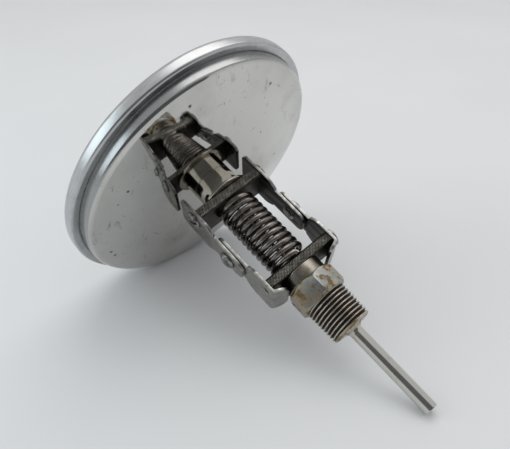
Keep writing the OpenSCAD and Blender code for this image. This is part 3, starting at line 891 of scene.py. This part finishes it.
def spring_path(radius, wire, curls, start_y, end_y):
    """Wire that leaves its seat square, bends into the curls and ends the same way."""
    height = end_y - start_y
    bend = wire / 2 + SPRING_SEAT
    lead = math.atan((height - 2 * bend) / (2 * math.pi * radius * curls))
    turn = math.pi / 2 - lead
    steps = 8
    start = [(bend * (1 - math.cos(turn * i / steps)), bend * math.sin(turn * i / steps))
             for i in range(steps + 1)]
    around = 2 * math.pi * radius * curls
    total = around + 2 * start[-1][0]
    count = int(curls * RINGS_PER_CURL)
    climb = height - 2 * start[-1][1]
    middle = [(start[-1][0] + around * i / count, start[-1][1] + climb * i / count) for i in range(1, count)]
    end = [(total - u, height - v) for u, v in reversed(start)]
    return [(radius * math.cos(u / radius), start_y + v, radius * math.sin(u / radius))
            for u, v in start + middle + end]


joint_spring = tube("coil_spring", spring_path(SPRING_R, SPRING_WIRE, SPRING_CURLS, head_block[1].y,
                                               stem_block[0].y), SPRING_WIRE / 2, 20)
dress(joint_spring, spring_metal, None, ["joint_spring"])
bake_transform(joint_spring)

coupling_rings = RINGS_PER_CURL // 2
coupling_turns = [2 * math.pi * k / coupling_rings for k in range(coupling_rings * COUPLING_CURLS + 1)]
coupling_path = [(COUPLING_R * math.cos(turn), pivot_y + COUPLING_L * (turn / coupling_turns[-1] - 0.5),
                  COUPLING_R * math.sin(turn)) for turn in coupling_turns]
coupling = tube("shaft_coupling_coil", coupling_path, COUPLING_WIRE / 2, 8)
dress(coupling, spring_metal, None, ["shaft_coupling"])
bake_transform(coupling)


# Swivel and case

def flange(name):
    low = span("swivel_flange")[0]
    return revolve(name, [
        (BORE_R, low.y, 0.2), (STUB_R, low.y, 0.4), (STUB_R, flange_face_y - FLANGE_T, 0),
        (flange_r, flange_face_y - FLANGE_T, 0.25), (flange_r, flange_face_y, 0.3),
        (BORE_R, flange_face_y, 0)])


def boss(name):
    """Polished boss that meets the case back in a fine undercut line."""
    low = span("case_boss")[0]
    return revolve(name, [
        (BOSS_BORE_R, low.y, 0.1), (CASE_HOLE_R, low.y, 0.2), (CASE_HOLE_R, back_y - 0.2, 0),
        (BOSS_R - 0.2, back_y - 0.2, 0), (BOSS_R - 0.2, back_y + 0.2, 0), (BOSS_R, back_y + 0.3, 0.1),
        (BOSS_R, boss_end_y, 0.5), (BOSS_BORE_R, boss_end_y, 0.2)], 200)


def skin(inset):
    """Profile of the case back from the boss over the dome and the rounded edge to its rim. The dome is
    level near the boss and then falls off more and more."""
    outline = []
    last = case_r - CASE_ROUND * (1 - math.sin(DOME_SLOPE))
    first, fall, steps = BOSS_R + 1.5, 0.0, 80
    for i in range(steps + 1):
        r = first + (last - first) * i / steps
        slope = DOME_SLOPE * min(max((r - DOME_FLAT) / (DOME_FULL - DOME_FLAT), 0), 1)
        outline.append((r - inset * math.sin(slope), back_y - fall - inset * math.cos(slope)))
        fall += math.tan(slope) * (last - first) / steps
    edge_y = back_y - fall - CASE_ROUND * math.cos(DOME_SLOPE)
    for i in range(1, 13):
        angle = (math.pi / 2 - DOME_SLOPE) * (1 - i / 12)
        outline.append((case_r - CASE_ROUND + (CASE_ROUND - inset) * math.cos(angle),
                        edge_y + (CASE_ROUND - inset) * math.sin(angle)))
    return outline + [(case_r - inset, wall_end_y - 0.5), (case_r - inset, gasket_y)]


def case_back(name):
    outline = [(CASE_HOLE_R, back_y), *skin(0), *skin(CASE_T)[::-1], (CASE_HOLE_R, back_y - CASE_T)]
    made = revolve(name, [(r, y, 0) for r, y in outline], 256)
    satin_from = case_r - CASE_ROUND * 0.3

    def wall(place, normal):
        return min(max((math.hypot(place.x, place.z) - satin_from) / (CASE_ROUND / 5), 0.0), 1.0)

    return store(made, "wall", wall)


def bezel(name):
    """Rolled ring with a soft front edge and a rolled lip at its back."""
    r = bezel_r
    return revolve(name, [
        (case_r + 0.02, wall_end_y - 0.25, 0), (case_r + 0.5, wall_end_y, 0.3), (r, wall_end_y, 1.3),
        (r, bezel_y, BEZEL_ROUND), (r - BEZEL_LIP, bezel_y, 0.9), (r - BEZEL_LIP, glass_y, 0.2),
        (case_r + 0.02, glass_y, 0)], 256, steps=8)


dress(flange("swivel_plate"), boss_metal, "bracket", ["swivel_flange"])
dress(boss("turned_boss"), boss_metal, "head", ["case_boss"])
dress(case_back("domed_back"), case_metal, "head", ["case_back"], sharp=40)
dress(bezel("rolled_bezel"), bezel_metal, "head", ["bezel_ring"], sharp=40)


# Front: window, dial and pointer

def ring(name, y0, y1, outer, inner, edge, segments):
    inner_edge = edge if inner else 0
    return revolve(name, [(inner, y0, inner_edge), (outer, y0, edge), (outer, y1, edge),
                          (inner, y1, inner_edge)], segments)


def on_dial(unit, radius, y):
    """Point of the scale for a reading, seen from the front with +Z up."""
    clock = math.radians(SCALE_START + DEGREES_PER_UNIT * unit)
    return radius * math.sin(clock), y, radius * math.cos(clock)


def scale_marks(name):
    """Printed lines of the scale: one for each unit, with longer ones at fives and tens."""
    outer = dial_r - SCALE_INSET
    points, faces = [], []
    for unit in range(SCALE_END_UNIT + 1):
        length, width = (7.5, 0.8) if unit % 10 == 0 else (5.5, 0.5) if unit % 5 == 0 else (3.6, 0.3)
        middle = math.radians(SCALE_START + DEGREES_PER_UNIT * unit)
        way = Vector((math.sin(middle), 0, math.cos(middle)))
        side = Vector((math.cos(middle), 0, -math.sin(middle))) * width / 2
        for level in (dial_y - PRINT_T, dial_y + PRINT_T / 2):
            for reach in (outer, outer - length):
                base = way * reach + Vector((0, level, 0))
                points += [base - side, base + side]
        faces += [tuple(len(points) - 8 + i for i in face) for face in BOX_FACES]
    return piece(name, points, faces)


def figures(name):
    """Plain numbers of the scale, as a mesh."""
    form = bmesh.new()
    print_y = dial_y - PRINT_T
    texts = [(str(unit), on_dial(unit, dial_r - FIGURE_INSET, print_y), FIGURE_SIZE)
             for unit in range(0, SCALE_END_UNIT + 1, 20)]
    texts.append(("°C", (0, print_y, UNIT_Z), UNIT_SIZE))
    for words, spot, size in texts:
        letters = bpy.data.curves.new(name, "FONT")
        letters.body = words
        letters.size = size
        letters.align_x = "CENTER"
        letters.align_y = "CENTER"
        letters.extrude = 0.015
        letters.offset = 0.03
        holder = bpy.data.objects.new(name, letters)
        mesh = bpy.data.meshes.new_from_object(holder)
        mesh.transform(Matrix.Scale(MM, 4) @ Matrix.Translation(spot) @ Matrix.Rotation(math.pi / 2, 4, "X"))
        form.from_mesh(mesh)
        bpy.data.objects.remove(holder)
    mesh = bpy.data.meshes.new(name)
    form.to_mesh(mesh)
    form.free()
    return placed(name, mesh)


def pointer_blade(name):
    """Tapered pointer with a round eye and a short tail, pointing to -X at rest."""
    blade = both_halves([(-pointer_l, 0.12, 0.05), (-pointer_l * 0.86, 1.0, 0), (-3.2, 1.7, 0.8),
                         (-1.8, 3.1, 2.5), (1.8, 3.1, 2.5), (3.2, 1.9, 0.8), (pointer_l * 0.3, 2.6, 0.6)], 5)
    return slab(name, [blade, circle(0, 0, POINTER_EYE_R, 24)], POINTER_T, 0.08,
                lambda along, across, through: (along, pointer_y + POINTER_T / 2 + through, across))


def pointer_hub(name):
    low, high = span("pointer_hub")
    eye, end = POINTER_EYE_R, pointer_y + POINTER_T
    front = revolve(name, [(eye, low.y, 0), (1.6, low.y, 0.3), (2.6, low.y + 0.35, 0.3),
                           (2.6, pointer_y, 0), (eye, pointer_y, 0)], 64)
    back = revolve(name, [(eye, end, 0), (2, end, 0), (2, high.y, 0.2), (eye, high.y, 0)], 64)
    return joined([front, back])


def dial_screw(name, x):
    head = revolve(name, [(0, dial_y - 0.9, 0), (1.3, dial_y - 0.85, 0.6),
                          (DIAL_SCREW_R, dial_y - 0.4, 0.3), (DIAL_SCREW_R, dial_y, 0),
                          (0, dial_y, 0)], 48)
    slot = box("slot", (-3, 3), (dial_y - 2, dial_y - 0.5), (-0.25, 0.25))
    return move(cut(head, slot), Matrix.Translation((x, 0, 0)))


dress(ring("window_pane", glass_y, gasket_y, glass_r, 0, 0.3, 192), glass, "head", ["window_glass"])
gasket_r = case_r - CASE_T - 0.05
dress(ring("window_spacer_ring", gasket_y, dial_y, gasket_r, gasket_r - 1.95, 0.3, 192), rubber, "head",
      ["window_gasket"])
dress(ring("dial_disc", dial_y, dial_y + 0.8, dial_r, 2.3, 0.1, 192), dial_paint, "head", ["dial_plate"])
dress(scale_marks("scale_marks"), ink, "head", ())
dress(figures("scale_figures"), ink, "head", ())
screw_x = (span("dial_screws")[1].x - span("dial_screws")[0].x) / 2 - DIAL_SCREW_R
dial_screws = joined([dial_screw("dial_screw_pair", screw_x), dial_screw("dial_screw_other", -screw_x)])
dress(dial_screws, bright_metal, "head", ["dial_screws"])
dress(pointer_blade("pointer_blade"), ink, "pointer", ["pointer"])
dress(pointer_hub("pointer_boss"), brass, "pointer", ["pointer_hub"])


# CAD nodes that keep their own mesh get their materials
kept = {"bimetal_helix": bimetal, "helix_anchor": brass, "stem_shaft": shaft_metal, "stem_bush": brass,
        "neck_bush": brass, "retaining_ring": screw_metal, "stub_bush": brass, "dial_spacers": brass,
        "head_shaft": shaft_metal}
for node, material in kept.items():
    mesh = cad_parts[node].data
    mesh.materials.clear()
    mesh.materials.append(material)


# Table, light and camera

SENSOR_WIDTH = 36
FOCAL_PIXELS = 560
PICTURE_PIXELS = 510
CAMERA_AT = Vector((78.7, 41.35, 234.36))
CAMERA_RIGHT = Vector((-0.7574, 0.6529, 0.0068))
CAMERA_UP = Vector((-0.5791, -0.6765, 0.4549))
CAMERA_BACK = Vector((0.3016, 0.3406, 0.8905))

table_right = (CAMERA_RIGHT - TABLE_UP * CAMERA_RIGHT.dot(TABLE_UP)).normalized()
table_away = TABLE_UP.cross(table_right)


def toward(up, right, away):
    """Unit direction from its shares up from the table, to the picture's right and away from the camera."""
    return (TABLE_UP * up + table_right * right + table_away * away).normalized()


def seen_directly(tree):
    """1 for what the camera, polished metal or glass looks at, and 0 for soft light."""
    rays = tree.nodes.new("ShaderNodeLightPath").outputs
    seen = rays["Is Camera Ray"]
    for kind in ("Is Glossy Ray", "Is Transmission Ray"):
        either = tree.nodes.new("ShaderNodeMath")
        either.operation = "MAXIMUM"
        tree.links.new(seen, either.inputs[0])
        tree.links.new(rays[kind], either.inputs[1])
        seen = either.outputs[0]
    return seen


def show(tree, output, factor, first, second):
    """Sends a mix of two shaders to the output."""
    mixed = tree.nodes.new("ShaderNodeMixShader")
    for source, socket in zip((factor, first.outputs[0], second.outputs[0]), mixed.inputs):
        tree.links.new(source, socket)
    tree.links.new(mixed.outputs[0], tree.nodes[output].inputs["Surface"])


def table_material():
    """Pale matt table that can't be seen from below."""
    made = Finish("table", metallic=0.0)
    cloudy = made.patches(6, 0.3, 0.7, detail=3)
    made.colour(made.mix(cloudy, (0.585, 0.588, 0.592), (0.57, 0.573, 0.575)))
    made.gloss(made.patches(300, 0.3, 0.7, 0.75, 0.85))
    made.shader.inputs["Specular IOR Level"].default_value = 0.25
    below = made.node("NewGeometry").outputs["Backfacing"]
    unseen = made.math("MULTIPLY", below, seen_directly(made.tree))
    show(made.tree, "Material Output", unseen, made.shader, made.node("BsdfTransparent"))
    return made.material


HALF_TABLE = 3000
table = piece("table", [TABLE_UP * table_level + (table_right * a + table_away * b) * HALF_TABLE
                        for a, b in ((-1, -1), (1, -1), (1, 1), (-1, 1))], [(0, 1, 2, 3)])
if table.data.polygons[0].normal.dot(TABLE_UP) < 0:
    table.data.flip_normals()
table.data.materials.append(table_material())


def dark_card(toward_camera, half_width, low, high):
    """Dark card on the camera's side that only polished metal mirrors, as in a product studio."""
    places = ((-half_width, low), (half_width, low), (half_width, high), (-half_width, high))
    corners = [TABLE_UP * (table_level + up) + table_right * right - table_away * toward_camera
               for right, up in places]
    made = piece("dark_card", corners, [(0, 1, 2, 3)])
    made.data.materials.append(painted("dark_card", (0.10, 0.10, 0.105), (0.13, 0.13, 0.13), 0.8))
    made.visible_camera = False
    made.visible_diffuse = False
    made.visible_transmission = False
    made.visible_shadow = False


dark_card(toward_camera=700, half_width=1500, low=150, high=1500)


LIGHT_AIM = Vector((0, -50, 0))


def softbox(name, direction, distance, width, height, power, colour):
    """Rectangular lamp that looks at the middle of the object. Its distance and size are in metres."""
    lamp = bpy.data.lights.new(name, "AREA")
    lamp.shape = "RECTANGLE"
    lamp.size = width
    lamp.size_y = height
    lamp.energy = power
    lamp.color = colour
    made = placed(name, lamp)
    made.location = LIGHT_AIM * MM + direction * distance
    made.rotation_mode = "QUATERNION"
    made.rotation_quaternion = direction.to_track_quat("Z", "Y")


softbox("overhead", toward(0.93, 0.12, 0.34), distance=1.1, width=0.95, height=0.75, power=3.4,
        colour=(1.0, 0.985, 0.96))
softbox("left_window", toward(0.42, -0.88, -0.12), distance=0.9, width=0.5, height=0.45, power=1.3,
        colour=(0.80, 0.93, 1.0))

SOFT_LIGHT = 0.98


def studio():
    """World whose soft light falls on matt surfaces, with a plain pale background for all that is seen."""
    world = bpy.data.worlds.new("studio")
    world.use_nodes = True
    tree = world.node_tree
    light = tree.nodes["Background"]
    light.inputs["Color"].default_value = (0.96, 0.98, 1.0, 1.0)
    strength = tree.nodes.new("ShaderNodeMath")
    strength.operation = "MULTIPLY"
    strength.inputs[1].default_value = SOFT_LIGHT
    tree.links.new(tree.nodes.new("ShaderNodeLightPath").outputs["Is Diffuse Ray"], strength.inputs[0])
    tree.links.new(strength.outputs[0], light.inputs["Strength"])
    plain = tree.nodes.new("ShaderNodeBackground")
    plain.inputs["Color"].default_value = (0.60, 0.605, 0.61, 1.0)
    show(tree, "World Output", seen_directly(tree), light, plain)
    return world


bpy.context.scene.world = studio()

lens = bpy.data.cameras.new("camera")
lens.sensor_width = SENSOR_WIDTH
lens.sensor_fit = "HORIZONTAL"
lens.lens = SENSOR_WIDTH * FOCAL_PIXELS / PICTURE_PIXELS
lens.clip_start, lens.clip_end = 0.01, 20
camera = placed("camera", lens)
turn = Matrix((CAMERA_RIGHT, CAMERA_UP, CAMERA_BACK)).transposed().to_4x4()
camera.matrix_world = Matrix.Translation(CAMERA_AT * MM) @ turn
bpy.context.scene.camera = camera
bpy.context.scene.view_settings.view_transform = "Standard"
